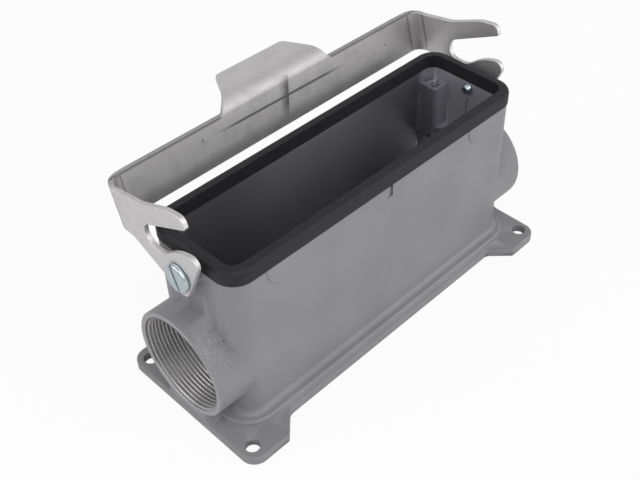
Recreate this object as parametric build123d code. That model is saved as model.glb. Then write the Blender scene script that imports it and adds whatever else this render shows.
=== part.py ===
"""Surface mounting housing of a heavy duty rectangular connector.

The long axis is X, the locking lever's bar is on the +Y side, and Z points up. The origin is at the
middle of the base plate's underside. All sizes are in millimetres.
"""
import os
from math import cos, radians, sin, sqrt, tan

from build123d import *

# Body: a tall rectangular casting, open at the top
body_length = 150.0
body_width = 44.2
body_corner_r = 8.5
wall = 3.75
floor_thickness = 5.0
shoulder_z = 72.7  # height at which the wall steps in under the rim seal

# Tongue: the thin upstand on the shoulder that the seal is pushed over
tongue_thickness = 1.6
tongue_height = 3.6
tongue_inset = 1.1  # from the body's outer face to the tongue

# Rim seal
seal_height = 5.8
seal_proud = 0.3  # how far the rubber stands out over the body's side
seal_edge_r = 1.9
seal_clearance = 0.05

# Base plate with its four ears
plate_thickness = 3.6
plate_overhang = 10.0  # beyond the body at each end
ear_overhang = 13.8  # from the body's side to an ear's outer edge
waist_overhang = 5.6  # from the body's side to the plate's edge between the ears
ear_reach = 17.5  # length of an ear's straight outer edge, from the plate's end
ear_corner_r = 6.0
ear_tip_r = 1.0
ear_root_r = 4.0
plate_edge = 0.5  # bevel round the plate's upper edge
hole_inset_x = 5.3  # from the plate's end to a fixing hole
hole_inset_y = 6.3  # from an ear's outer edge to its hole
hole_r = 2.9

# Step: the raised foot that runs round the body on the plate
step_reach = 4.3
step_rise = 2.6
step_crest_r = 1.5
step_fillet_r = 2.7

# Cable entries: a threaded boss on each end, M40 x 1.5
entry_axis_z = 28.7
entry_bore_r = 19.19  # the thread's minor radius
entry_boss_r = 22.0
entry_reach = 10.4  # from the body's end to the boss's face
entry_edge = 0.4
entry_chamfer = 0.8
entry_inner_reach = 7.0  # how far the boss runs on into the cavity
web_width = 22.0  # foot that joins the boss to the plate
web_inset = 0.65  # from the boss's face back to the foot's
web_fillet_r = 2.0

# Inner posts for the insert's fixing screws, at two opposite corners
post_inset_x = 8.1  # from the body's end to the post's screw axis
post_inset_y = 9.0  # from the body's side
post_drop = 5.1  # from the shoulder to the post's top
post_width = 7.4
post_corner_r = 1.6
post_hole_r = 1.65  # tapped M4
post_hole_depth = 14.0
rib_thickness = 2.2
rib_inset = 2.4  # from the post's screw axis to the middle of the rib

# Marks cast in the long walls
disc_inset = 22.2  # from the body's end to the disc's middle
disc_drop = 1.7  # from the shoulder
disc_r = 7.5
disc_height = 0.3
notch_width = 3.0
notch_height = 5.4
notch_depth = 1.0

# Groove inside each end wall, under the pivot screw's tail
groove_width = 1.6
groove_depth = 0.8
groove_height = 8.0
groove_drop = 4.8  # from the pivot's axis to the groove's top

# Lever pivot
pivot_y = -1.1
pivot_drop = 2.9  # from the shoulder
pad_r = 5.2
pad_height = 2.2
screw_head_r = 5.6
screw_head_height = 1.8
screw_head_edge = 0.5
screw_slot_width = 1.2
screw_slot_depth = 0.7
screw_slot_turn = 20.0  # degrees that the slot leans from upright
screw_shoulder_r = 2.7
screw_thread_r = 2.0
screw_length = 8.2  # thread below the shoulder
screw_end_chamfer = 0.5
screw_clearance = 0.05  # round the shoulder and the thread
side_clearance = 0.12  # on each side of the lever's arm
spring_sheet = 0.4
spring_height = 0.7
spring_r = 4.4

# Locking lever, folded from one sheet
sheet = 2.0
bar_tilt = 15.0  # degrees that the bar leans outwards
bar_gap = 9.3  # from the body's side to the foot of the bar
bar_foot_rise = 2.9  # from the pivot's height to the foot of the bar
bar_top_rise = 19.0  # from the pivot's height to the bar's upper edge
bend_inner_r = 4.5

# Pulling tab on the bar
tab_bend_r = 7.4  # the bend starts at the bar's upper edge
tab_flat = 9.1
tab_root_width = 54.8
tab_side_angle = 31.7  # degrees
tab_root_r = 2.5
tab_corner_r = 3.0

# Outline of an arm, from the pivot: (y, z, corner radius)
slot_r = 4.7
arm_outline = (
    (24.0, 2.9, 4.0),  # lower edge bends down to the ear
    (-2.3, -9.9, 4.0),  # foot of the ear
    (-12.7, 14.3, 3.2),  # upper front corner of the ear
    (-0.6, 11.9, 22.0),  # crown of the ear
    (6.8, 5.4, 8.0),  # down into the slot
    (32.0, 5.4, slot_r),  # closed end of the slot
    (-7.3, 24.7, 1.0),  # tip of the finger, lower corner
    (-5.8, 28.9, 2.8),  # tip of the finger, upper corner
    (2.0, 27.9, 15.0),  # back of the finger
    (16.7, 21.75, 20.0),  # dip behind the finger
    (32.0, 19.0, 5.0),  # start of the bar's upper edge
)

# Sizes that follow from those above
half_length = body_length / 2
half_width = body_width / 2
plate_end_x = half_length + plate_overhang
ear_edge_y = half_width + ear_overhang
waist_edge_y = half_width + waist_overhang
hole_x = plate_end_x - hole_inset_x
hole_y = ear_edge_y - hole_inset_y
entry_face_x = half_length + entry_reach
post_x = half_length - post_inset_x
post_y = half_width - post_inset_y
post_top_z = shoulder_z - post_drop
pivot_z = shoulder_z - pivot_drop
bar_foot_z = pivot_z + bar_foot_rise
bar_top_z = pivot_z + bar_top_rise
inner_half_length = half_length - wall
seal_top_z = shoulder_z + seal_height
tilt = radians(bar_tilt)
pad_face_x = half_length + pad_height
arm_inner_x = pad_face_x + spring_height + side_clearance
arm_outer_x = arm_inner_x + sheet
head_seat_x = arm_outer_x + side_clearance
bar_foot_y = half_width + bar_gap
far = 200.0  # longer than the whole part, for cuts that run right through
over = 1.0  # how far a cut runs on past a face
near = 0.01  # closeness at which two heights count as the same


def rounded_block(length, width, radius, bottom, top):
    """A rectangle with rounded corners, centred on Z, drawn up between two heights."""
    face = RectangleRounded(length, width, radius)
    return Pos(0, 0, bottom) * extrude(face, top - bottom)


def body_block(offset, bottom, top):
    """The body's outline, moved out by an offset, between two heights."""
    grow = 2 * offset
    return rounded_block(body_length + grow, body_width + grow, body_corner_r + offset, bottom, top)


def along_x(radius, start, end, y=0.0, z=0.0):
    """A round bar parallel to X."""
    bar = extrude(Plane.YZ * Circle(radius), end - start)
    return Pos(start, y, z) * bar


def mirrored_ends(solid):
    """A solid at the +X end together with its mirror image at the -X end."""
    return solid, mirror(solid, Plane.YZ)


def plate_outline():
    """The base plate seen from above: a waisted plate with four ears."""
    x_tip = plate_end_x - ear_reach
    x_root = x_tip - (ear_edge_y - waist_edge_y)
    end_corner = (plate_end_x, ear_edge_y, ear_corner_r)
    quarter = (end_corner, (x_tip, ear_edge_y, ear_tip_r), (x_root, waist_edge_y, ear_root_r))
    corners = []
    for sx, sy in ((1, 1), (-1, 1), (-1, -1), (1, -1)):
        part = quarter if sx * sy > 0 else tuple(reversed(quarter))
        corners += [(sx * x, sy * y, r) for x, y, r in part]
    return rounded_face(corners)


def rounded_face(corners):
    """A closed outline of straight edges with a radius at each corner, as a face."""
    points = [(u, v) for u, v, _ in corners]
    radii = [r for _, _, r in corners]
    return make_face(FilletPolyline(*points, radius=radii, close=True))


def base_plate():
    """The plate with a bevelled upper edge and its fixing holes."""
    plate = extrude(plate_outline(), plate_thickness)
    rim = plate.faces().sort_by(Axis.Z)[-1].edges()
    plate = chamfer(rim, plate_edge)
    hole = extrude(Circle(hole_r), plate_thickness * 2)
    spots = GridLocations(2 * hole_x, 2 * hole_y, 2, 2)
    return plate - [spot * Pos(0, 0, -plate_thickness / 2) * hole for spot in spots]


def body_shell():
    """The body on its plate, with the raised step round its foot."""
    step_top = plate_thickness + step_rise
    step = body_block(step_reach, plate_thickness / 2, step_top)
    step = fillet(step.faces().sort_by(Axis.Z)[-1].edges(), step_crest_r)
    shell = step + body_block(0, plate_thickness / 2, shoulder_z)
    foot = shell.edges().filter_by_position(Axis.Z, step_top - near, step_top + near)
    foot = foot.filter_by(lambda edge: abs(edge.center().Y) < half_width + near)
    foot = foot.filter_by(lambda edge: abs(edge.center().X) < half_length + near)
    shell = fillet(foot, step_fillet_r)
    tongue = body_block(-tongue_inset, shoulder_z - wall, shoulder_z + tongue_height)
    return shell + tongue + base_plate()


def entry_boss():
    """The outer part of the cable entry at the +X end, with the foot under it."""
    root_x = half_length - body_corner_r
    boss = along_x(entry_boss_r, root_x, entry_face_x, z=entry_axis_z)
    boss = chamfer(boss.edges().sort_by(Axis.X)[-1], entry_edge)
    web_length = entry_face_x - web_inset - root_x
    return boss + Pos(root_x, 0, 0) * extrude(web_section(), web_length)


def web_section():
    """The foot of the cable entry, seen from the end: upright sides that sweep out to the plate."""
    side = web_width / 2
    flare = side + web_fillet_r
    low = plate_thickness / 2
    corners = (
        (side, entry_axis_z, 0.0),
        (side, plate_thickness, web_fillet_r - near),
        (flare, plate_thickness, 0.0),
        (flare, low, 0.0),
        (-flare, low, 0.0),
        (-flare, plate_thickness, 0.0),
        (-side, plate_thickness, web_fillet_r - near),
        (-side, entry_axis_z, 0.0),
    )
    return Plane.YZ * rounded_face(corners)


def entry_sleeve():
    """The inner part of the cable entry, which fills the foot of the cavity's end."""
    start = inner_half_length - entry_inner_reach
    length = half_length - start
    sleeve = along_x(entry_boss_r, start, half_length, z=entry_axis_z)
    foot = Box(length, body_width, entry_axis_z, align=(Align.MIN, Align.CENTER, Align.MIN))
    return sleeve + Pos(start, 0, 0) * foot


def entry_bore():
    """The bore of the +X cable entry, with a chamfered mouth."""
    start = inner_half_length - entry_inner_reach - over
    bore = along_x(entry_bore_r, start, entry_face_x + over, z=entry_axis_z)
    mouth = Plane(origin=(entry_face_x, 0, entry_axis_z), z_dir=(-1, 0, 0))
    wide_r = entry_bore_r + entry_chamfer
    upright = (Align.CENTER, Align.CENTER, Align.MIN)
    lead_in = mouth * Cone(wide_r, entry_bore_r, entry_chamfer, align=upright)
    return bore + lead_in


def insert_post():
    """The post at the (+X, +Y) corner, carried by the end wall and a rib to the long wall."""
    foot_z = entry_axis_z + sqrt(entry_bore_r**2 - post_y**2)
    height = post_top_z - foot_z
    column = extrude(RectangleRounded(post_width, post_width, post_corner_r), height)
    post = Pos(post_x, post_y, foot_z) * column
    to_wall = half_length - wall / 2 - post_x
    web = Box(to_wall, post_width, height, align=(Align.MIN, Align.CENTER, Align.MIN))
    post += Pos(post_x, post_y, foot_z) * web
    rib_length = half_width - wall / 2 - post_y
    rib = Box(rib_thickness, rib_length, height, align=(Align.CENTER, Align.MIN, Align.MIN))
    return post + Pos(post_x - rib_inset, post_y, foot_z) * rib


def post_hole():
    """The tapped hole down the post."""
    hole = extrude(Circle(post_hole_r), post_hole_depth + over)
    return Pos(post_x, post_y, post_top_z - post_hole_depth) * hole


def wall_disc(x_side, y_side):
    """A shallow round mark on a long wall, cut off level with the seal."""
    disc = extrude(Plane.XZ * Circle(disc_r), (disc_height + wall / 2) / 2, both=True)
    middle_y = half_width + disc_height / 2 - wall / 4
    middle_x = half_length - disc_inset
    disc = Pos(x_side * middle_x, y_side * middle_y, shoulder_z - disc_drop) * disc
    above = Pos(0, 0, shoulder_z) * Box(far, far, far, align=(Align.CENTER, Align.CENTER, Align.MIN))
    return disc - above


def wall_notch():
    """The wedge shaped notch under the seal in the middle of the front wall."""
    left = -notch_width / 2
    right = notch_width / 2
    outside = -half_width - over
    deep = -half_width + notch_depth
    corners = ((left, -half_width), (right, deep), (right, outside), (left, outside))
    face = make_face(Polyline(*corners, close=True))
    return Pos(0, 0, shoulder_z - notch_height) * extrude(face, notch_height + tongue_height)


def pivot_pad():
    """The pad that carries the +X pivot screw, cut off level with the seal."""
    pad = along_x(pad_r, half_length - wall / 2, pad_face_x, pivot_y, pivot_z)
    above = Pos(0, 0, shoulder_z) * Box(far, far, far, align=(Align.CENTER, Align.CENTER, Align.MIN))
    return pad - above


def wall_groove():
    """The upright groove inside the +X end wall, under the tail of the pivot screw."""
    low_z = pivot_z - groove_drop - groove_height
    upright = (Align.CENTER, Align.CENTER, Align.MIN)
    groove = Box(2 * groove_depth, groove_width, groove_height, align=upright)
    return Pos(inner_half_length, pivot_y, low_z) * groove


def make_housing():
    """The die casting: body, plate, cable entries, posts, pads and marks in one piece."""
    housing = body_shell()
    for boss in mirrored_ends(entry_boss()):
        housing += boss
    inner = wall - tongue_inset - tongue_thickness
    ledge = body_block(-wall, floor_thickness, shoulder_z)
    mouth = body_block(-wall + inner, shoulder_z, shoulder_z + tongue_height + over)
    housing -= ledge
    housing -= mouth
    inside = body_block(-wall / 2, floor_thickness / 2, shoulder_z)
    for sleeve in mirrored_ends(entry_sleeve()):
        housing += sleeve & inside
    for turn in (0, 180):
        housing += Rot(0, 0, turn) * insert_post()
    for pad in mirrored_ends(pivot_pad()):
        housing += pad
    for x_side in (-1, 1):
        for y_side in (-1, 1):
            housing += wall_disc(x_side, y_side)
    for bore in mirrored_ends(entry_bore()):
        housing -= bore
    for turn in (0, 180):
        housing -= Rot(0, 0, turn) * post_hole()
    hole_start = inner_half_length - over
    hole_end = pad_face_x + over
    screw_hole = along_x(screw_thread_r + screw_clearance, hole_start, hole_end, pivot_y, pivot_z)
    for hole in mirrored_ends(screw_hole):
        housing -= hole
    for groove in mirrored_ends(wall_groove()):
        housing -= groove
    return housing - wall_notch()


def make_rim_seal():
    """The rubber seal: an upside down channel pushed over the tongue."""
    outer = body_block(seal_proud, shoulder_z, seal_top_z)
    outer = fillet(outer.faces().sort_by(Axis.Z)[-1].edges(), seal_edge_r)
    opening = body_block(-wall, shoulder_z - over, seal_top_z + over)
    groove_top = shoulder_z + tongue_height
    groove_out = body_block(seal_clearance - tongue_inset, shoulder_z - over, groove_top)
    core_offset = -tongue_inset - tongue_thickness - seal_clearance
    groove_in = body_block(core_offset, shoulder_z - 2 * over, seal_top_z)
    return outer - opening - (groove_out - groove_in)


def make_pivot_screw():
    """The +X pivot screw: slotted head, shoulder for the arm, thread into the end wall."""
    shoulder_x = pad_face_x
    head = along_x(screw_head_r, head_seat_x, head_seat_x + screw_head_height, pivot_y, pivot_z)
    head = chamfer(head.edges().sort_by(Axis.X)[-1], screw_head_edge)
    shoulder = along_x(screw_shoulder_r, shoulder_x, head_seat_x, pivot_y, pivot_z)
    thread = along_x(screw_thread_r, shoulder_x - screw_length, shoulder_x, pivot_y, pivot_z)
    thread = chamfer(thread.edges().sort_by(Axis.X)[0], screw_end_chamfer)
    slot = Box(screw_slot_depth * 2, screw_slot_width, screw_head_r * 3)
    slot = Pos(head_seat_x + screw_head_height, pivot_y, pivot_z) * Rot(-screw_slot_turn, 0, 0) * slot
    return head + shoulder + thread - slot


def make_spring_washer():
    """The cone spring between the +X pad and the lever's arm."""
    inner_r = screw_shoulder_r + screw_clearance
    rise = spring_height - spring_sheet
    inner_edge = ((rise, inner_r), (rise + spring_sheet, inner_r))
    outer_edge = ((spring_sheet, spring_r), (0, spring_r))
    ring = revolve(make_face(Polyline(*inner_edge, *outer_edge, close=True)), Axis.X)
    return Pos(pad_face_x, pivot_y, pivot_z) * ring


def arm_face():
    """The side view of the lever in the YZ plane, drawn through to behind the bar."""
    behind = bar_foot_y - pivot_y + bar_top_z - bar_foot_z
    foot = (behind, bar_foot_z - pivot_z, 0.0)
    top = (behind, bar_top_z - pivot_z, 0.0)
    outline = rounded_face((foot,) + arm_outline + (top,))
    return Pos(0, pivot_y, pivot_z) * (Plane.YZ * outline)


def lever_channel():
    """The folded U of arms and bar, drawn along the bar's tilted direction."""
    up = Vector(0, sin(tilt), cos(tilt))
    low = Vector(0, bar_foot_y, bar_foot_z) - up * (far / 2)
    section_plane = Plane(origin=low, x_dir=(1, 0, 0), z_dir=up)
    outer_r = bend_inner_r + sheet
    outside = section_plane * Pos(0, sheet - far / 2, 0) * RectangleRounded(2 * arm_outer_x, far, outer_r)
    inside = section_plane * Pos(0, -far / 2, 0) * RectangleRounded(2 * arm_inner_x, far, bend_inner_r)
    return extrude(outside - inside, far)


def make_locking_lever():
    """The stamped lever: two arms with hooked fingers, the bar and its pulling tab."""
    profile = Pos(-far / 2, 0, 0) * extrude(arm_face(), far)
    lever = lever_channel() & profile
    lever += pulling_tab()
    pivot = along_x(screw_shoulder_r + screw_clearance, -far / 2, far / 2, pivot_y, pivot_z)
    return lever - pivot


def bend_points():
    """Where the tab's bend starts on the bar, its centre, and where the flat starts and ends."""
    start = Vector(0, bar_foot_y + (bar_top_z - bar_foot_z) * tan(tilt), bar_top_z)
    centre = start + Vector(0, cos(tilt), -sin(tilt)) * tab_bend_r
    flat_start = centre + Vector(0, 0, tab_bend_r)
    return start, centre, flat_start, flat_start + Vector(0, tab_flat, 0)


def tab_prism(start, tip):
    """The tab's outline, seen along the slope from its root to its tip, as a tall block."""
    view = Plane(origin=start, x_dir=(1, 0, 0), z_dir=(0, -0.5, sqrt(0.75)))
    reach = view.to_local_coords(tip).Y
    half_root = tab_root_width / 2
    half_tip = half_root - reach * tan(radians(tab_side_angle))
    wide = half_root + tab_root_r + over
    outline = rounded_face(
        (
            (half_root, 0.0, tab_root_r),
            (half_tip, reach, tab_corner_r),
            (-half_tip, reach, tab_corner_r),
            (-half_root, 0.0, tab_root_r),
            (-wide, 0.0, 0.0),
            (-wide, -reach, 0.0),
            (wide, -reach, 0.0),
            (wide, 0.0, 0.0),
        )
    )
    return extrude(view * Pos(0, 0, -far / 4) * outline, far / 2)


def tab_foot(start):
    """A strip of the bar's own sheet under the tab, which the tab grows out of."""
    down = Vector(0, -sin(tilt), -cos(tilt)) * sheet
    through = Vector(0, cos(tilt), -sin(tilt)) * sheet
    section = Polyline(start, start + through, start + through + down, start + down, close=True)
    return extrude(make_face(section), tab_root_width / 2 + tab_root_r, both=True)


def pulling_tab():
    """The tab: the upper face of its bend and flat cut to outline, then given the sheet's thickness."""
    start, centre, flat_start, tip = bend_points()
    outline = tab_prism(start, tip)
    across = Vector(2 * tab_root_width, 0, 0)
    section = Plane(origin=centre, x_dir=(0, 1, 0), z_dir=(1, 0, 0))
    bend_line = section * CenterArc((0, 0), tab_bend_r, 90, 90 - bar_tilt)
    below = Vector(0, 0, -1)
    tab = tab_foot(start)
    for line, inward in ((bend_line, centre - start + below * tab_bend_r), (Line(flat_start, tip), below)):
        strip = Pos(-tab_root_width, 0, 0) * Face.extrude(line.edge(), across)
        for face in (strip & outline).faces():
            tab += thicken(face, sheet, normal_override=inward)
    return tab


def main():
    """Write one STEP file for each piece."""
    os.makedirs("parts", exist_ok=True)
    screw_right, screw_left = mirrored_ends(make_pivot_screw())
    spring_right, spring_left = mirrored_ends(make_spring_washer())
    pieces = {
        "housing": make_housing(),
        "rim_seal": make_rim_seal(),
        "locking_lever": make_locking_lever(),
        "pivot_screw_right": screw_right,
        "pivot_screw_left": screw_left,
        "spring_washer_right": spring_right,
        "spring_washer_left": spring_left,
    }
    for name, piece in pieces.items():
        export_step(piece, f"parts/{name}.step")


main()
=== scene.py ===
"""Looks of a surface mounting housing for a heavy duty rectangular connector.

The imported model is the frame. X runs along the housing, the lever's bar is on the +Y side and Z is up.
Lengths in the code are in metres, and the shader's places are in millimetres.
"""
from math import cos, radians, sin, tan, tau

import bmesh
import bpy
from bpy.props import FloatProperty, FloatVectorProperty, PointerProperty
from mathutils import Matrix, Vector


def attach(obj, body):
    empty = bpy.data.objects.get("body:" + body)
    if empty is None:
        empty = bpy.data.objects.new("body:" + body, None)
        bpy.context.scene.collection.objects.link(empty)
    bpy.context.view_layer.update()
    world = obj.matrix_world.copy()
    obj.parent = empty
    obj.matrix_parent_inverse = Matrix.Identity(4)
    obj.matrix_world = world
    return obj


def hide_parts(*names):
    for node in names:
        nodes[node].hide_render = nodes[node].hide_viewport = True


bl_info = {
    "name": "Rectangular connector housing",
    "version": (1, 0, 0),
    "blender": (4, 5, 0),
    "location": "View3D > Sidebar > Connector",
    "description": "Finishes a surface mounting connector housing around its packed frame",
    "category": "Object",
}

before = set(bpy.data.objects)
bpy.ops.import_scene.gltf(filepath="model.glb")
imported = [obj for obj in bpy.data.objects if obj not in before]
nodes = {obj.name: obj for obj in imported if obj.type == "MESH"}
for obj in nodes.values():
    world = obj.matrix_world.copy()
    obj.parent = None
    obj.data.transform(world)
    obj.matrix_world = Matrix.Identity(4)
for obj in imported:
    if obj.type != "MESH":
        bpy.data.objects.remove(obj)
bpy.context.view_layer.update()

MM = 0.001
SHARP = radians(32)  # edges that turn by more than this stay sharp
SHEET_SHARP = radians(40)  # the same for the stamped sheet
LEVEL = radians(0.3)  # facets that turn by less than this are joined before a bevel
CLOSE = 0.01 * MM  # how near two places are that count as one
EQUAL_AREA = 50  # the weighted normals go by area alone
START_TURN = radians(1.7)  # keeps a coil's corners off the bore's own facet edges
INNER_DEPTH = 0.541  # depth of a nut's thread in shares of its pitch
OUTER_DEPTH = 0.61  # depth of a screw's thread in shares of its pitch
ENTRY_TURNS = 15.5  # carries the entry's thread out past the boss's face
SCREW_TURNS = 5
BAR_PITS = ((-38.5 * MM, 84.2 * MM), (58.2 * MM, 81.6 * MM))  # along the bar, and their height
PIT_RADIUS = 0.6 * MM
FLOOR_RADIUS = 6.0
FLOOR_DROP = 0.2 * MM
FLOOR_WHITE = 0.92  # how much of the floor's white the camera sees through its shadow

# Where masks on the materials fade, in millimetres: nought at the first place and one at the second.
CAVITY_END = (71.7, 71.4)
CAVITY_SIDE = (18.7, 18.5)
CAVITY_FLOOR = (4.4, 5.0)
# The next two darken the cavity's long walls towards its ends as painted shade, and lighten its end walls
# as painted light.
CAVITY_PAINTED_SHADE = (10.0, 50.0)
CAVITY_PAINTED_LIGHT_END = (61.0, 66.0)
BOSS_ROOT = (71.0, 74.0)
BOSS_SIDE = (24.5, 23.0)
# The next two place painted light on the face of each boss's rim.
RIM_FACE = (85.0, 85.3)
RIM_EDGE = (22.0, 21.8)
BAR_TOP = (88.1, 88.4)
TAB_END = (27.5, 29.0)
ARM_FOOT = (73.0, 76.0)
ARM_FACE = (78.8, 78.3)
CREASE_END = (36.0, 20.0)
# The next three place painted shade in patches beside the die mark's step.
MARK_SHADE_LEFT = (-5.5, -0.3)
MARK_SHADE_RIGHT = (0.15, 0.0)
MARK_SHADE_HEIGHT = (10.0, 2.0)
LEDGE_LEFT = (-2.0, 0.0)
LEDGE_RIGHT = (0.2, 0.0)


def colour(name, description, default):
    """A colour property without alpha."""
    return FloatVectorProperty(
        name=name, description=description, default=default, size=3, min=0.0, max=1.0, subtype="COLOR"
    )


def length(name, description, default):
    """A length property in metres."""
    return FloatProperty(
        name=name, description=description, default=default, min=0.0, unit="LENGTH", precision=5
    )


def share(name, description, default):
    """A number from nought to one."""
    return FloatProperty(
        name=name, description=description, default=default, min=0.0, max=1.0, subtype="FACTOR"
    )


def place(name, description, default):
    """A place in metres."""
    return FloatVectorProperty(
        name=name, description=description, default=default, size=3, subtype="TRANSLATION"
    )


def turn(name, description, degrees):
    """An angle, given in degrees."""
    return FloatProperty(name=name, description=description, default=radians(degrees), subtype="ANGLE")


class CastingSettings(bpy.types.PropertyGroup):
    """Powder coat and threads of the die casting."""

    coat: colour("Coat", "Powder coat on the outside", (0.284, 0.281, 0.299))
    # The cavity's colour is darker than the coat, as painted shade inside the cavity.
    cavity: colour("Cavity", "Painted shade on the coat inside the cavity", (0.205, 0.200, 0.225))
    machined: colour("Machined metal", "Bare metal of the cut threads", (0.50, 0.49, 0.49))
    gloss: share("Roughness", "Roughness of the powder coat", 0.34)
    edge: length("Edge radius", "Rounding that the coat gives to corners", 0.0004)
    thread_pitch: length("Entry pitch", "Pitch of the cable entry thread", 0.0015)
    thread_radius: length("Entry radius", "Root radius of the cable entry thread", 0.020)
    entry_height: length("Entry height", "Height of the cable entry axis", 0.0287)
    entry_start: length("Entry start", "Distance of the entry's inner end from the middle", 0.063)
    rough_angle: turn("Rough patch", "Where round the entry's rim the coat is coarse", 131.0)


class LeverSettings(bpy.types.PropertyGroup):
    """Stamped sheet of the locking lever."""

    steel: colour("Steel", "Stainless sheet", (0.76, 0.745, 0.745))
    edge: length("Edge radius", "Rounding of the stamped edges", 0.0003)
    roughness: share("Roughness", "Roughness of the rolled sheet", 0.50)
    bar_foot: place("Bar foot", "Foot of the bar's inner face", (0.0, 0.0314, 0.0727))
    bar_tilt: turn("Bar tilt", "Lean of the bar from upright", 15.0)
    tab_root: place(
        "Tab root", "Half the tab's width, and where its root begins in Y and Z", (0.027, 0.033, 0.0865)
    )
    crease_height: length("Crease height", "Height of the crease along the bar", 0.0836)
    crease_width: length("Crease width", "Width of the crease where it is deepest", 0.0007)
    crease_depth: length("Crease depth", "Depth of the crease where it is deepest", 0.0003)
    mark_place: length("Die mark", "Distance of the upright die mark from the middle", 0.00385)


class SealSettings(bpy.types.PropertyGroup):
    """Rubber of the rim seal."""

    rubber: colour("Rubber", "Colour of the seal", (0.020, 0.020, 0.023))
    roughness: share("Roughness", "Roughness of the rubber", 0.52)


class ScrewSettings(bpy.types.PropertyGroup):
    """Zinc plated pivot screws and their spring washers."""

    zinc: colour("Zinc", "Blue zinc plating", (0.66, 0.74, 0.79))
    spring: colour("Spring steel", "Cone spring washers", (0.42, 0.41, 0.40))
    pitch: length("Screw pitch", "Pitch of the screw thread", 0.0007)
    undercut: length("Head bevel", "Bevel under the head", 0.0005)


class StageSettings(bpy.types.PropertyGroup):
    """Floor, lamps and camera."""

    floor: colour("Floor", "Floor and backdrop", (0.93, 0.93, 0.93))
    lamps: FloatProperty(
        name="Lamps", description="Share of the lamps' full power", default=0.62, min=0.0
    )
    fill: share("Surroundings", "Brightness of the light from all round", 0.39)
    mirrored: share("Mirrored surroundings", "How much of the white backdrop shows in reflections", 0.3)
    lens: FloatProperty(name="Lens", description="Focal length", default=54.17, min=1.0, unit="CAMERA")
    azimuth: turn("Azimuth", "Direction of the view round the upright", -46.16)
    elevation: turn("Elevation", "Height of the view over the level", 42.17)
    roll: turn("Roll", "Turn of the camera round its axis", -0.14)
    distance: length("Distance", "Distance of the camera", 0.3769)
    target: place("Target", "Point that the view turns round", (0.0, 0.0, 0.04375))
    aside: place("Offset", "Camera's offset across and up its own picture", (0.0020, -0.00408, 0.0))
    shift: FloatVectorProperty(
        name="Shift",
        description="Picture's shift in shares of its width",
        default=(-0.04972, -0.01864),
        size=2,
    )


class Value:
    """A shader socket on which sums and products add Math nodes."""

    def __init__(self, tree, socket):
        self.tree = tree
        self.socket = socket

    def __add__(self, other):
        return self.tree.math("ADD", self, other)

    def __radd__(self, other):
        return self.tree.math("ADD", other, self)

    def __sub__(self, other):
        return self.tree.math("SUBTRACT", self, other)

    def __rsub__(self, other):
        return self.tree.math("SUBTRACT", other, self)

    def __mul__(self, other):
        return self.tree.math("MULTIPLY", self, other)

    def __rmul__(self, other):
        return self.tree.math("MULTIPLY", other, self)

    def __abs__(self):
        return self.tree.math("ABSOLUTE", self)


class Tree:
    """The node tree of a material or a world, emptied and written anew."""

    def __init__(self, owner, output):
        owner.use_nodes = True
        self.tree = owner.node_tree
        self.tree.nodes.clear()
        self.output = self.tree.nodes.new(output)

    def node(self, kind, settings=None, sockets=None, output=0):
        """Adds a node: its settings first, then the values and links of its sockets."""
        made = self.tree.nodes.new(kind)
        for name, value in (settings or {}).items():
            setattr(made, name, value)
        for key, value in (sockets or {}).items():
            socket = made.inputs[key]
            if isinstance(value, Value):
                self.tree.links.new(value.socket, socket)
            elif socket.type == "RGBA":
                socket.default_value = (*value, 1.0)
            else:
                socket.default_value = value
        return Value(self, made.outputs[output])

    def math(self, operation, *terms):
        """A Math node on numbers or values."""
        return self.node("ShaderNodeMath", {"operation": operation}, dict(enumerate(terms)))

    def end(self, shader):
        """Links the finished shader to the output."""
        self.tree.links.new(shader.socket, self.output.inputs["Surface"])


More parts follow.
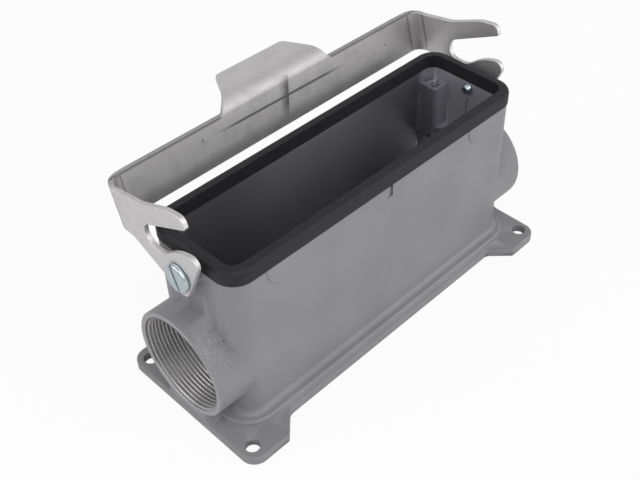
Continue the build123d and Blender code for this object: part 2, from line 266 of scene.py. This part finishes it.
class Finish(Tree):
    """One procedural material, with places on the object in millimetres."""

    def __init__(self, name):
        self.material = bpy.data.materials.new(name)
        super().__init__(self.material, "ShaderNodeOutputMaterial")
        metres = self.node("ShaderNodeTexCoord", output="Object")
        self.place = self.node("ShaderNodeVectorMath", {"operation": "SCALE"}, {0: metres, "Scale": 1 / MM})
        self.x = self.node("ShaderNodeSeparateXYZ", {}, {0: self.place}, "X")
        self.y = self.node("ShaderNodeSeparateXYZ", {}, {0: self.place}, "Y")
        self.z = self.node("ShaderNodeSeparateXYZ", {}, {0: self.place}, "Z")

    def step(self, value, low, high):
        """0 below low, 1 above high, and smooth between. Falls instead where low is above high."""
        if low > high:
            return 1.0 - self.step(value, high, low)
        sockets = {"Value": value, "From Min": low, "From Max": high}
        return self.node("ShaderNodeMapRange", {"interpolation_type": "SMOOTHSTEP"}, sockets)

    def band(self, value, middle, half, edge):
        """1 within half of the middle, and 0 further out than the edge beyond that."""
        return self.step(abs(value - middle), half + edge, half)

    def strongest(self, mask, *others):
        """The largest of several masks."""
        for other in others:
            mask = self.math("MAXIMUM", mask, other)
        return mask

    def noise(self, scale, detail=3.0, roughness=0.5, stretch=(1.0, 1.0, 1.0)):
        """Noise from 0 to 1: its scale is in periods a millimetre, times the stretch along each axis."""
        stretched = self.node(
            "ShaderNodeVectorMath", {"operation": "MULTIPLY"}, {0: self.place, 1: stretch}
        )
        sockets = {"Vector": stretched, "Scale": scale, "Detail": detail, "Roughness": roughness}
        return self.node("ShaderNodeTexNoise", {}, sockets, "Fac")

    def blend(self, factor, first, second):
        """A colour between two colours."""
        return self.node("ShaderNodeMix", {"data_type": "RGBA"}, {0: factor, 6: first, 7: second}, 2)

    def spot(self, centre, radius):
        """1 at a place given in metres, and 0 further off than the radius in millimetres."""
        sockets = {0: self.place, 1: centre / MM}
        far = self.node("ShaderNodeVectorMath", {"operation": "DISTANCE"}, sockets, "Value")
        return self.step(far, radius, radius / 2)

    def rounded(self, radius):
        """A normal that rounds the corners by a radius in millimetres."""
        return self.node("ShaderNodeBevel", {"samples": 6}, {"Radius": radius * MM}, "Normal")

    def corners(self, rounded):
        """1 where the rounded normal leaves the surface's own, so at the corners."""
        own = self.node("ShaderNodeNewGeometry", output="Normal")
        sockets = {0: rounded, 1: own}
        cosine = self.node("ShaderNodeVectorMath", {"operation": "DOT_PRODUCT"}, sockets, "Value")
        return self.step(cosine, 0.99, 0.85)

    def bump(self, height, distance, below=None):
        """A normal from a height of 0 to 1 that stands for a distance in millimetres."""
        sockets = {"Height": height, "Distance": distance * MM, "Strength": 1.0}
        if below is not None:
            sockets["Normal"] = below
        return self.node("ShaderNodeBump", {}, sockets, "Normal")

    def surface(self, **sockets):
        """The surface shader, from sockets named with underscores for spaces."""
        named = {key.replace("_", " "): value for key, value in sockets.items()}
        self.end(self.node("ShaderNodeBsdfPrincipled", {}, named))
        return self.material


def scaled(shade, factor):
    """A colour made lighter or darker."""
    return tuple(min(1.0, tone * factor) for tone in shade)


def scene_settings(name):
    """One of the settings groups kept on the scene."""
    return getattr(bpy.context.scene, "connector_" + name)


def add_object(name, mesh):
    """A new object with this mesh, at the origin."""
    made = bpy.data.objects.new(name, mesh)
    bpy.context.scene.collection.objects.link(made)
    return made


def merged_copy(node):
    """A mesh with the node's shape and its loose triangles joined up."""
    shape = bmesh.new()
    shape.from_mesh(nodes[node].data)
    bmesh.ops.remove_doubles(shape, verts=shape.verts, dist=MM / 1000)
    return shape


def mesh_from(name, shape):
    """Ends a bmesh and returns it as a mesh."""
    mesh = bpy.data.meshes.new(name)
    shape.to_mesh(mesh)
    shape.free()
    return mesh


def smooth(made, angle=SHARP):
    """Smooth shading, broken at edges sharper than the angle and ruled by the large faces."""
    made.data.polygons.foreach_set("use_smooth", [True] * len(made.data.polygons))
    made.data.set_sharp_from_angle(angle=angle)
    weighted = made.modifiers.new("Flat faces rule", "WEIGHTED_NORMAL")
    weighted.keep_sharp = True
    weighted.weight = EQUAL_AREA
    return made


def soften(shape, radius, segments=2, keep=None):
    """Rounds the sharp edges of a closed shape."""
    bmesh.ops.dissolve_limit(
        shape, angle_limit=LEVEL, verts=shape.verts, edges=shape.edges, use_dissolve_boundaries=False
    )
    sharp = [edge for edge in shape.edges if edge.is_manifold and edge.calc_face_angle() > SHARP]
    if keep is not None:
        sharp = [edge for edge in sharp if keep(edge)]
    bmesh.ops.bevel(
        shape,
        geom=sharp,
        offset=radius,
        offset_type="OFFSET",
        segments=segments,
        profile=0.5,
        affect="EDGES",
        clamp_overlap=False,
        material=-1,
    )


def helix(name, start, centre, section, pitch, turns, direction, steps=72):
    """A closed right-handed coil round an axis parallel to X: section lists (along, radius) pairs."""
    shape = bmesh.new()
    outward = Vector((0.0, sin(START_TURN), cos(START_TURN)))
    middle = Vector((start, *centre))
    places = [middle + outward * radius + Vector((along, 0.0, 0.0)) for along, radius in section]
    face = shape.faces.new([shape.verts.new(corner) for corner in places])
    count = round(turns * steps)
    bmesh.ops.spin(
        shape,
        geom=[face, *face.edges, *face.verts],
        cent=(0.0, *centre),
        axis=(1.0, 0.0, 0.0),
        dvec=(direction * pitch / steps, 0.0, 0.0),
        angle=direction * tau * count / steps,
        steps=count,
        use_merge=False,
        use_duplicate=False,
    )
    bmesh.ops.recalc_face_normals(shape, faces=shape.faces)
    return add_object(name, mesh_from(name, shape))


def thread_groove(crest, root, pitch):
    """The section of a 60 degree thread's groove, from the air over the crest down to the root."""
    over = pitch / 5
    flank = radians(30)
    outward = 1 if root > crest else -1
    mouth = pitch * 3 / 8 + over * tan(flank)
    foot = pitch / 16
    air = crest - outward * over
    return [(-mouth, air), (mouth, air), (foot, root), (-foot, root)]


def taper(name, tip, base, up, into):
    """A pointed wedge: a diamond section at its base that runs out to its tip."""
    shape = bmesh.new()
    ring = [shape.verts.new(base + offset) for offset in (up, into, -up, -into)]
    point = shape.verts.new(tip)
    shape.faces.new(ring)
    for first, second in zip(ring, ring[1:] + ring[:1]):
        shape.faces.new((first, second, point))
    bmesh.ops.recalc_face_normals(shape, faces=shape.faces)
    return add_object(name, mesh_from(name, shape))


def ball(name, centre, radius):
    """A small sphere."""
    shape = bmesh.new()
    bmesh.ops.create_icosphere(shape, subdivisions=3, radius=radius, matrix=Matrix.Translation(centre))
    return add_object(name, mesh_from(name, shape))


def cut(made, cutters):
    """Takes the cutters' volume out of an object and removes them."""
    for cutter in cutters:
        difference = made.modifiers.new("Cut", "BOOLEAN")
        difference.operation = "DIFFERENCE"
        difference.solver = "EXACT"
        difference.object = cutter
    evaluated = made.evaluated_get(bpy.context.evaluated_depsgraph_get())
    mesh = bpy.data.meshes.new_from_object(evaluated)
    made.modifiers.clear()
    made.data = mesh
    for cutter in cutters:
        old = cutter.data
        bpy.data.objects.remove(cutter)
        bpy.data.meshes.remove(old)


def cut_threads(finish, along, from_axis):
    """1 on the cut threads of the cable entries."""
    settings = scene_settings("casting")
    start = settings.entry_start / MM
    root = settings.thread_radius / MM
    near = 0.1
    far = 0.35
    return finish.step(from_axis, root + far, root + near) * finish.step(along, start, start + 1.0)


def in_cavity(finish, along):
    """1 on the cavity's surfaces."""
    ends = finish.step(along, *CAVITY_END)
    sides = finish.step(abs(finish.y), *CAVITY_SIDE)
    return ends * sides * finish.step(finish.z, *CAVITY_FLOOR)


def coarse_patch(finish, along, level, from_axis):
    """1 on the coarse patch beside each boss's rim, which winds a little as it runs inwards."""
    rim = 84.0
    winding = radians(0.9)
    round_boss = finish.math("ARCTAN2", level, finish.y) - (rim - along) * winding
    middle = scene_settings("casting").rough_angle
    patch = finish.band(round_boss, middle, half=radians(13), edge=radians(9))
    return patch * finish.step(along, *BOSS_ROOT) * finish.step(from_axis, *BOSS_SIDE)


def powder_coat():
    """Grey powder coat over die cast metal, with bare threads in the cable entries, painted shade in the
    cavity and painted light on the bosses' rims, the coarse patches and the corners.
    """
    settings = scene_settings("casting")
    finish = Finish("powder_coated_casting")
    cloud = finish.noise(scale=0.035)
    fleck = finish.noise(scale=1.5, detail=4.0, roughness=0.6)
    grain = finish.noise(scale=3.4, roughness=0.6)
    coarse = finish.noise(scale=1.5, roughness=0.55)
    along = abs(finish.x)
    level = finish.z - settings.entry_height / MM
    from_axis = finish.math("SQRT", finish.y * finish.y + level * level)
    threaded = cut_threads(finish, along, from_axis)
    covered = 1.0 - threaded
    rough = coarse_patch(finish, along, level, from_axis) * covered
    inside = in_cavity(finish, along)
    # The face of each boss's rim is painted lighter, as painted light.
    rim = finish.step(along, *RIM_FACE) * finish.step(from_axis, *RIM_EDGE) * covered

    own = tuple(settings.coat)
    cavity = tuple(settings.cavity)
    coat = finish.blend(finish.step(cloud, 0.35, 0.65), scaled(own, 0.96), scaled(own, 1.05))
    coat = finish.blend(finish.step(fleck, 0.55, 0.8) * 0.3, coat, scaled(own, 0.78))
    # The raised grain of the coarse patch is painted lighter, as painted glints; its bump is real.
    coat = finish.blend(rough * finish.step(coarse, 0.48, 0.62) * 0.6, coat, scaled(own, 1.5))
    coat = finish.blend(rim, coat, scaled(own, 1.25))
    # Painted shade inside the cavity: darker along the walls towards the ends, with painted light on the
    # end walls.
    painted_cavity_shade = finish.blend(finish.step(along, *CAVITY_PAINTED_SHADE), cavity, scaled(cavity, 0.55))
    painted_cavity_shade = finish.blend(finish.step(along, *CAVITY_PAINTED_LIGHT_END), painted_cavity_shade, scaled(cavity, 1.5))
    coat = finish.blend(inside, coat, painted_cavity_shade)
    coat = finish.blend(threaded, coat, tuple(settings.machined))
    rounded = finish.rounded(settings.edge / MM)
    # Corners are painted lighter as painted highlights, more strongly inside the cavity.
    painted_edge_highlight = finish.corners(rounded) * (0.25 + inside * 0.25)
    coat = finish.blend(painted_edge_highlight, coat, scaled(own, 1.6))

    roughness = settings.gloss + (fleck - 0.5) * 0.14 + inside * 0.08
    roughness = roughness * covered + threaded * 0.34
    height = (fleck * 0.6 + grain * 0.4) * (1.0 - inside)
    normal = finish.bump(height, distance=0.05, below=rounded)
    normal = finish.bump(coarse * rough, distance=0.5, below=normal)
    metallic = threaded * 0.9 + inside * 0.25
    return finish.surface(
        Base_Color=coat, Roughness=roughness, Metallic=metallic, Normal=normal, Specular_IOR_Level=0.5
    )


def beside_die_mark(finish):
    """How far a place lies beside the upright die mark, which leans a little along the bar."""
    settings = scene_settings("lever")
    lean = 0.24
    return finish.x - settings.mark_place / MM - (finish.z - settings.crease_height / MM) * lean


def bar_marks(finish, cloud, beside):
    """1 on the bar's dark marks: painted shade and dirt in the crease, painted shade beside the die mark's
    step and in the pits, and painted shade on the rolled top edge beside the tab.
    """
    fall = 0.0115
    middle = 1.0
    above = finish.z - scene_settings("lever").crease_height / MM + finish.x * fall
    ends = finish.step(abs(finish.x - middle), *CREASE_END)
    # The crease is painted dark, as painted shade and dirt in its groove.
    crease = finish.band(above, 0.0, half=0.22, edge=0.5) * ends
    # Painted shade in patches beside the die mark's step.
    painted_mark_shade = finish.step(beside, *MARK_SHADE_LEFT) * finish.step(beside, *MARK_SHADE_RIGHT)
    painted_mark_shade = painted_mark_shade * finish.step(cloud, 0.1, 0.5) * finish.step(abs(above), *MARK_SHADE_HEIGHT)
    # The pits are painted dark, as painted shade in them.
    pits = finish.strongest(*(finish.spot(pit, 0.7) for pit in bar_pits()))
    # The bar's rolled top edge beside the tab is painted dark, as painted shade.
    painted_edge_shade = finish.step(finish.z, *BAR_TOP) * finish.step(abs(finish.x), *TAB_END)
    return finish.strongest(crease, painted_mark_shade, pits * 0.6, painted_edge_shade * 0.7)


def press_lines(finish, behind, over_bar):
    """1 on the lines that the press leaves beside the bends, on the bar and on the arms."""
    bend = 73.5
    front = -4.6
    bar = finish.band(abs(finish.x), bend, half=0.2, edge=0.5) * over_bar
    arm = finish.band(behind, front, half=0.2, edge=0.5) * finish.step(abs(finish.x), *ARM_FACE)
    return finish.strongest(bar, arm * finish.step(finish.z, *ARM_FOOT))


def rolled_steel():
    """Stainless sheet with fine rolling marks, dirt, press lines at its bends and the marks of the bar,
    with painted shade on the bar and in its marks.
    """
    settings = scene_settings("lever")
    finish = Finish("rolled_stainless_sheet")
    cloud = finish.noise(scale=0.12, detail=4.0, roughness=0.6)
    rolled = finish.noise(scale=1.0, detail=4.0, roughness=0.65, stretch=(0.03, 2.2, 2.2))
    smudge = finish.noise(scale=0.3, detail=4.0, roughness=0.65, stretch=(0.3, 1.0, 1.0))
    blotch = finish.step(finish.noise(scale=0.16, detail=5.0, roughness=0.7), 0.45, 0.65)
    speck = finish.step(finish.noise(scale=0.9, roughness=0.6, stretch=(0.6, 1.0, 1.0)), 0.66, 0.74)
    slope = tan(settings.bar_tilt)
    foot = settings.bar_foot / MM
    behind = finish.y - finish.z * slope - (foot[1] - foot[2] * slope)
    over_bar = finish.band(behind, 0.0, half=0.3, edge=0.4)
    near_bar = finish.band(behind, 0.0, half=0.5, edge=5.5)
    beside = beside_die_mark(finish)

    own = tuple(settings.steel)
    dirt = near_bar * finish.strongest(blotch * 0.22, speck * 0.45)
    # dark holds the painted shade of the bar's crease, pits and top edge and beside the die mark, with the
    # press lines' own marks.
    dark = finish.strongest(
        bar_marks(finish, cloud, beside) * over_bar, press_lines(finish, behind, over_bar) * 0.5
    )
    tint = finish.blend(finish.step(smudge, 0.45, 0.75), own, scaled(own, 0.9))
    # Painted shade: the bar and the first few millimetres of the arms are painted darker.
    tint = finish.blend(near_bar, tint, scaled(own, 0.72))
    tint = finish.blend(dirt, tint, scaled(own, 0.35))
    tint = finish.blend(dark, tint, scaled(own, 0.22))

    roughness = settings.roughness + (cloud - 0.5) * 0.1 + (rolled - 0.5) * 0.1
    ledge = finish.step(beside, *LEDGE_LEFT) * finish.step(beside, *LEDGE_RIGHT) * over_bar
    normal = finish.bump(rolled, distance=0.01)
    normal = finish.bump(1.0 - ledge, distance=0.1, below=normal)
    return finish.surface(Base_Color=tint, Roughness=roughness, Metallic=1.0, Normal=normal)


def seal_rubber():
    """Matt black rubber with a little dust."""
    settings = scene_settings("seal")
    finish = Finish("black_seal_rubber")
    own = tuple(settings.rubber)
    dust = finish.noise(scale=0.5, detail=4.0, roughness=0.7)
    grain = finish.noise(scale=4.0, detail=2.0)
    tone = finish.blend(finish.step(dust, 0.45, 0.8), own, scaled(own, 1.7))
    roughness = settings.roughness + (dust - 0.5) * 0.2
    normal = finish.bump(grain, distance=0.02)
    return finish.surface(Base_Color=tone, Roughness=roughness, Normal=normal, Specular_IOR_Level=0.3)


def zinc_plate():
    """Bright zinc plating with a bluish cast and a mottled passivation."""
    settings = scene_settings("screw")
    finish = Finish("blue_zinc_plating")
    own = tuple(settings.zinc)
    cloud = finish.noise(scale=0.6, roughness=0.6)
    tint = finish.blend(finish.step(cloud, 0.3, 0.7), own, scaled(own, 0.85))
    return finish.surface(Base_Color=tint, Roughness=0.26 + (cloud - 0.5) * 0.2, Metallic=1.0)


def spring_steel():
    """Plain spring steel of the cone washers."""
    settings = scene_settings("screw")
    finish = Finish("washer_spring_steel")
    own = tuple(settings.spring)
    cloud = finish.noise(scale=0.8)
    tint = finish.blend(cloud, own, scaled(own, 0.8))
    return finish.surface(Base_Color=tint, Roughness=0.35 + (cloud - 0.5) * 0.2, Metallic=1.0)


def dress(made, material):
    """Gives an object one material."""
    made.data.materials.clear()
    made.data.materials.append(material)


def entry_coil(side):
    """The cutter of the thread in the cable entry on one side, which is -1 or 1."""
    settings = scene_settings("casting")
    pitch = settings.thread_pitch
    root = settings.thread_radius
    groove = thread_groove(root - pitch * INNER_DEPTH, root, pitch)
    centre = (0.0, settings.entry_height)
    return helix(
        f"entry_coil_{side}", side * settings.entry_start, centre, groove, pitch, ENTRY_TURNS, side
    )


class CONNECTOR_OT_housing(bpy.types.Operator):
    """Cut the cable entry threads into the casting and coat it"""

    bl_idname = "connector.housing"
    bl_label = "Housing"

    def execute(self, context):
        casting = add_object("housing_casting", mesh_from("housing_casting", merged_copy("housing")))
        cut(casting, [entry_coil(side) for side in (-1, 1)])
        smooth(casting)
        dress(casting, powder_coat())
        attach(casting, "base")
        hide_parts("housing")
        return {"FINISHED"}


class CONNECTOR_OT_lever(bpy.types.Operator):
    """Round the stamped edges of the locking lever, press its marks and give it its rolled finish"""

    bl_idname = "connector.lever"
    bl_label = "Locking lever"

    def execute(self, context):
        shape = merged_copy("locking_lever")
        soften(shape, scene_settings("lever").edge, segments=3, keep=clear_of_tab_root)
        lever = add_object("lever_sheet", mesh_from("lever_sheet", shape))
        cut(lever, press_marks())
        smooth(lever, SHEET_SHARP)
        dress(lever, rolled_steel())
        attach(lever, "lever")
        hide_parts("locking_lever")
        return {"FINISHED"}


def clear_of_tab_root(edge):
    """Whether an edge is away from the tab's two roots, whose facets are too small to round."""
    half, depth, height = scene_settings("lever").tab_root
    reach = 4 * MM
    return not any(
        abs(abs(vertex.co.x) - half) < reach and vertex.co.y > depth and vertex.co.z > height
        for vertex in edge.verts
    )


def on_bar(x, height):
    """A point of the bar's inner face."""
    settings = scene_settings("lever")
    rise = height - settings.bar_foot[2]
    return settings.bar_foot + Vector((x, rise * tan(settings.bar_tilt), rise))


def bar_pits():
    """The places of the two small pits in the bar's inner face."""
    return [on_bar(x, height) for x, height in BAR_PITS]


def press_marks():
    """The cutters of the bar's crease, which breaks at the die mark, and of its pits."""
    settings = scene_settings("lever")
    tilt = settings.bar_tilt
    up = Vector((0.0, sin(tilt), cos(tilt)))
    into = Vector((0.0, cos(tilt), -sin(tilt)))
    height = settings.crease_height
    mark = settings.mark_place
    half = up * (settings.crease_width / 2)
    deep = into * settings.crease_depth
    fall = 0.4 * MM
    left_tip = on_bar(-34 * MM, height + fall)
    left_end = on_bar(mark - 0.2 * MM, height)
    right_tip = on_bar(33 * MM, height - fall)
    right_end = on_bar(mark + 0.5 * MM, height)
    left = taper("crease_left", left_tip, left_end, half, deep)
    right = taper("crease_right", right_tip, right_end, half, deep)
    back = into * (PIT_RADIUS * 0.6)
    pits = [ball(f"pit_{number}", pit - back, PIT_RADIUS) for number, pit in enumerate(bar_pits())]
    return [left, right, *pits]


class CONNECTOR_OT_screws(bpy.types.Operator):
    """Thread the pivot screws, bevel their heads and plate them and the spring washers"""

    bl_idname = "connector.screws"
    bl_label = "Pivot screws"

    def execute(self, context):
        zinc = zinc_plate()
        spring = spring_steel()
        for side, direction in (("left", -1), ("right", 1)):
            screw = threaded_screw(side, direction)
            dress(screw, zinc)
            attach(screw, "base")
            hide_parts(f"pivot_screw_{side}")
            dress(nodes[f"spring_washer_{side}"], spring)
        return {"FINISHED"}


def threaded_screw(side, direction):
    """A copy of a pivot screw with a thread on its tail and a bevel under its head."""
    settings = scene_settings("screw")
    shape = merged_copy(f"pivot_screw_{side}")
    places = [vertex.co for vertex in shape.verts]
    centre = [(min(co[axis] for co in places) + max(co[axis] for co in places)) / 2 for axis in (1, 2)]
    tail = min(abs(co.x) for co in places)

    def from_axis(co):
        return Vector((co.y - centre[0], co.z - centre[1])).length

    head_radius = max(from_axis(co) for co in places)
    seat = min(abs(co.x) for co in places if from_axis(co) > head_radius - CLOSE)
    near_tail = tail + 2.0 * MM
    thread_radius = max(from_axis(co) for co in places if abs(co.x) < near_tail)

    def under_head(edge):
        return all(
            abs(abs(vertex.co.x) - seat) < CLOSE and from_axis(vertex.co) > head_radius - CLOSE
            for vertex in edge.verts
        )

    soften(shape, settings.undercut, keep=under_head)
    name = f"screw_{side}"
    screw = add_object(name, mesh_from(name, shape))
    pitch = settings.pitch
    start = direction * (tail - pitch)
    groove = thread_groove(thread_radius, thread_radius - pitch * OUTER_DEPTH, pitch)
    coil = helix(f"screw_coil_{side}", start, centre, groove, pitch, SCREW_TURNS, direction, steps=40)
    cut(screw, [coil])
    return smooth(screw)


class CONNECTOR_OT_seal(bpy.types.Operator):
    """Give the rim seal its rubber"""

    bl_idname = "connector.seal"
    bl_label = "Rim seal"

    def execute(self, context):
        dress(nodes["rim_seal"], seal_rubber())
        return {"FINISHED"}


def lamp(name, spot, target, size, power):
    """A soft square lamp that points at the target."""
    data = bpy.data.lights.new(name, "AREA")
    data.size = size
    data.energy = power
    made = bpy.data.objects.new(name, data)
    made.location = spot
    made.rotation_euler = (Vector(target) - Vector(spot)).to_track_quat("-Z", "Y").to_euler()
    bpy.context.scene.collection.objects.link(made)


def add_world(fill, mirrored):
    """Even light from all round, with a white backdrop for the camera and partly for reflections."""
    world = bpy.data.worlds.new("studio")
    bpy.context.scene.world = world
    studio = Tree(world, "ShaderNodeOutputWorld")
    seen = studio.node("ShaderNodeLightPath", output="Is Camera Ray")
    through = studio.node("ShaderNodeLightPath", output="Is Transmission Ray")
    glossy = studio.node("ShaderNodeLightPath", output="Is Glossy Ray")
    share_white = studio.math("MAXIMUM", studio.math("MAXIMUM", seen, through), glossy * mirrored)
    around = studio.node("ShaderNodeBackground", {}, {"Color": (1.0, 1.0, 1.0), "Strength": fill})
    white = studio.node("ShaderNodeBackground", {}, {"Color": (1.0, 1.0, 1.0), "Strength": 1.0})
    studio.end(studio.node("ShaderNodeMixShader", {}, {0: share_white, 1: around, 2: white}))


def add_floor(shade):
    """A wide pale floor that keeps a soft shadow and is white where the camera sees it."""
    shape = bmesh.new()
    bmesh.ops.create_circle(shape, cap_ends=True, segments=64, radius=FLOOR_RADIUS)
    floor = add_object("floor", mesh_from("floor", shape))
    floor.location.z = -FLOOR_DROP
    material = bpy.data.materials.new("white_floor")
    paper = Tree(material, "ShaderNodeOutputMaterial")
    seen = paper.node("ShaderNodeLightPath", output="Is Camera Ray")
    ground = paper.node("ShaderNodeBsdfDiffuse", {}, {"Color": shade})
    white = paper.node("ShaderNodeEmission", {}, {"Color": (1.0, 1.0, 1.0), "Strength": 1.0})
    paper.end(paper.node("ShaderNodeMixShader", {}, {0: seen * FLOOR_WHITE, 1: ground, 2: white}))
    dress(floor, material)


def add_camera():
    """The photograph's view: from the left, in front and above."""
    settings = scene_settings("stage")
    data = bpy.data.cameras.new("camera")
    data.lens = settings.lens
    data.shift_x, data.shift_y = settings.shift
    data.clip_start = 0.01
    azimuth = settings.azimuth
    elevation = settings.elevation
    back = Vector((sin(azimuth) * cos(elevation), -cos(azimuth) * cos(elevation), sin(elevation)))
    level = Vector((cos(azimuth), sin(azimuth), 0.0))
    above = back.cross(level)
    across = cos(settings.roll) * level + sin(settings.roll) * above
    upright = cos(settings.roll) * above - sin(settings.roll) * level
    aside = across * settings.aside[0] + upright * settings.aside[1]
    spot = Vector(settings.target) + back * settings.distance + aside
    made = bpy.data.objects.new("camera", data)
    made.matrix_world = Matrix.Translation(spot) @ Matrix((across, upright, back)).transposed().to_4x4()
    bpy.context.scene.collection.objects.link(made)
    bpy.context.scene.camera = made


LAMPS = {
    "key_lamp": ((-0.2, -0.6, 0.9), 1.0, 6.2),
    "left_lamp": ((-0.8, 0.4, 0.6), 0.7, 4.0),
    "front_lamp": ((0.65, -0.9, 0.4), 0.8, 4.9),
}


class CONNECTOR_OT_stage(bpy.types.Operator):
    """Set up the floor, the soft lamps and the camera"""

    bl_idname = "connector.stage"
    bl_label = "Stage"

    def execute(self, context):
        settings = scene_settings("stage")
        scene = context.scene
        scene.view_settings.view_transform = "Standard"
        add_world(settings.fill, settings.mirrored)
        add_floor(tuple(settings.floor))
        for name, (spot, size, power) in LAMPS.items():
            lamp(name, spot, settings.target, size, power * settings.lamps)
        add_camera()
        return {"FINISHED"}


GROUPS = {
    "casting": CastingSettings,
    "lever": LeverSettings,
    "seal": SealSettings,
    "screw": ScrewSettings,
    "stage": StageSettings,
}
STEPS = (
    CONNECTOR_OT_housing,
    CONNECTOR_OT_lever,
    CONNECTOR_OT_screws,
    CONNECTOR_OT_seal,
    CONNECTOR_OT_stage,
)


class CONNECTOR_PT_panel(bpy.types.Panel):
    """Sizes, colours and steps of the connector housing"""

    bl_label = "Connector housing"
    bl_space_type = "VIEW_3D"
    bl_region_type = "UI"
    bl_category = "Connector"

    def draw(self, context):
        for name, group in GROUPS.items():
            box = self.layout.box()
            box.label(text=name.capitalize())
            for prop in group.__annotations__:
                box.prop(scene_settings(name), prop)
        for step in STEPS:
            self.layout.operator(step.bl_idname)


def register():
    """Registers the classes and keeps the settings on the scene."""
    for group in GROUPS.values():
        bpy.utils.register_class(group)
    for kind in (*STEPS, CONNECTOR_PT_panel):
        bpy.utils.register_class(kind)
    for name, group in GROUPS.items():
        setattr(bpy.types.Scene, "connector_" + name, PointerProperty(type=group))


def unregister():
    """Takes back what register did."""
    for name in GROUPS:
        delattr(bpy.types.Scene, "connector_" + name)
    for kind in (CONNECTOR_PT_panel, *reversed(STEPS)):
        bpy.utils.unregister_class(kind)
    for group in GROUPS.values():
        bpy.utils.unregister_class(group)


def main():
    """Builds everything in order."""
    register()
    bpy.ops.connector.housing()
    bpy.ops.connector.lever()
    bpy.ops.connector.screws()
    bpy.ops.connector.seal()
    bpy.ops.connector.stage()


if __name__ == "__main__":
    main()
